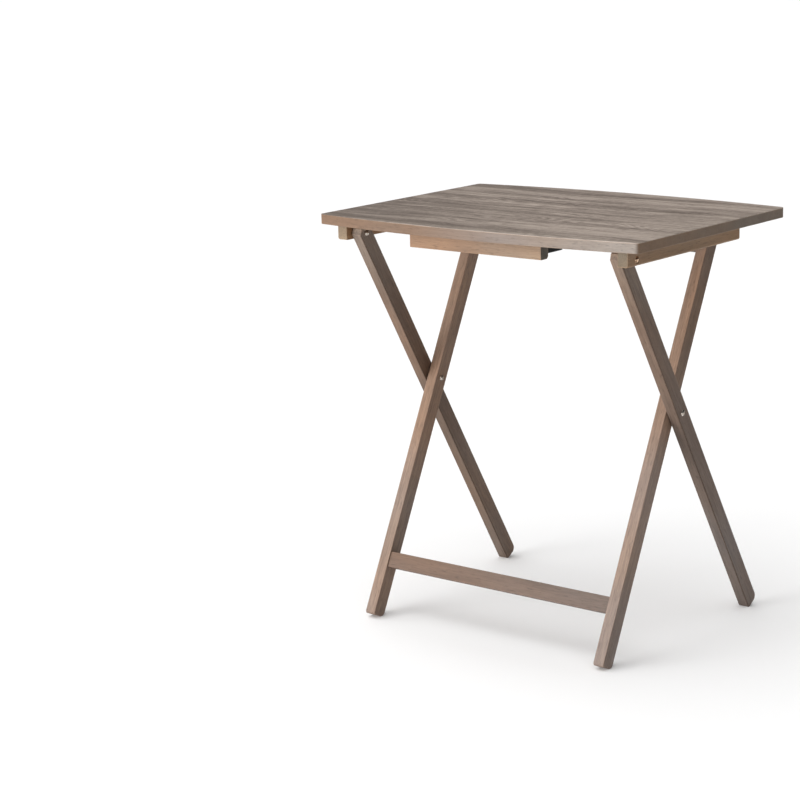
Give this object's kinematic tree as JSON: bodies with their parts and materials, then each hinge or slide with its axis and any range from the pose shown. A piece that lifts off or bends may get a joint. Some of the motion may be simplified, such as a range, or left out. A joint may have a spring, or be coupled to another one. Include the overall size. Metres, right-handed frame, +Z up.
{
  "type": "folding tray table",
  "caption": "Folding tray table: bowed rectangular wood-grain tray on crossed leg frames, with cleats, a hanging bar and clips underneath.",
  "frame": {"origin": "on the floor under the middle of the tray", "axes": "+X to the right along the long side, +Y away from the user, +Z up"},
  "size_m": [0.595, 0.4678, 0.66],
  "materials": {
    "laminate": "printed oak grain, satin",
    "tray_edge": "stained and sealed, satin",
    "leg_wood": "grey-brown stain, satin",
    "rail_wood": "lighter grey-brown stain, satin",
    "dowel_wood": "grey-brown stain, satin",
    "black_plastic": "moulded, matt",
    "bronze": "antique bronze, polished by wear",
    "washer_plastic": "moulded nylon",
    "screw_steel": "zinc plated"
  },
  "bodies": {
    "outer_legs": {"left_outer_leg": "leg_wood", "right_outer_leg": "leg_wood", "left_cross_pivot_bolt": "bronze", "left_cross_pivot_cap_nut": "bronze", "left_cross_pivot_washer": "washer_plastic", "right_cross_pivot_bolt": "bronze", "right_cross_pivot_cap_nut": "bronze", "right_cross_pivot_washer": "washer_plastic"},
    "inner_frame": {"left_inner_leg": "leg_wood", "right_inner_leg": "leg_wood", "crossbar": "dowel_wood", "stretcher": "leg_wood", "stretcher_dowels": "dowel_wood"},
    "tray_pivots": {"left_tray_pivot_bolt": "bronze", "left_tray_pivot_cap_nut": "bronze", "left_tray_pivot_washer": "bronze", "right_tray_pivot_bolt": "bronze", "right_tray_pivot_cap_nut": "bronze", "right_tray_pivot_washer": "bronze"},
    "tray": {"tray_panel": "tray_edge", "top_laminate": "laminate", "left_cleat": "rail_wood", "right_cleat": "rail_wood", "hanging_bar": "rail_wood", "left_storage_clip": "black_plastic", "right_storage_clip": "black_plastic", "left_leg_catch": "black_plastic", "right_leg_catch": "black_plastic", "cleat_screws": "screw_steel", "hanging_bar_screws": "screw_steel", "storage_clip_screws": "screw_steel", "leg_catch_screws": "screw_steel"}
  },
  "joints": [
    {"name": "leg_fold", "type": "hinge", "parent": "outer_legs", "child": "inner_frame", "pos_m": [0, -0.01413, 0.36746], "axis": [1, 0, 0], "range_deg": [0, 57.5]},
    {"name": "tray_lift", "type": "hinge", "parent": "outer_legs", "child": "tray_pivots", "pos_m": [0, -0.174, 0.629], "axis": [1, 0, 0], "range_deg": [0, 28.76]},
    {"name": "tray_tilt", "type": "hinge", "parent": "tray_pivots", "child": "tray", "pos_m": [0, -0.174, 0.629], "axis": [1, 0, 0], "range_deg": [0, 92]}
  ],
  "couplings": [
    {"joint": "tray_lift", "follows": "leg_fold", "ratio": 0.5}
  ]
}
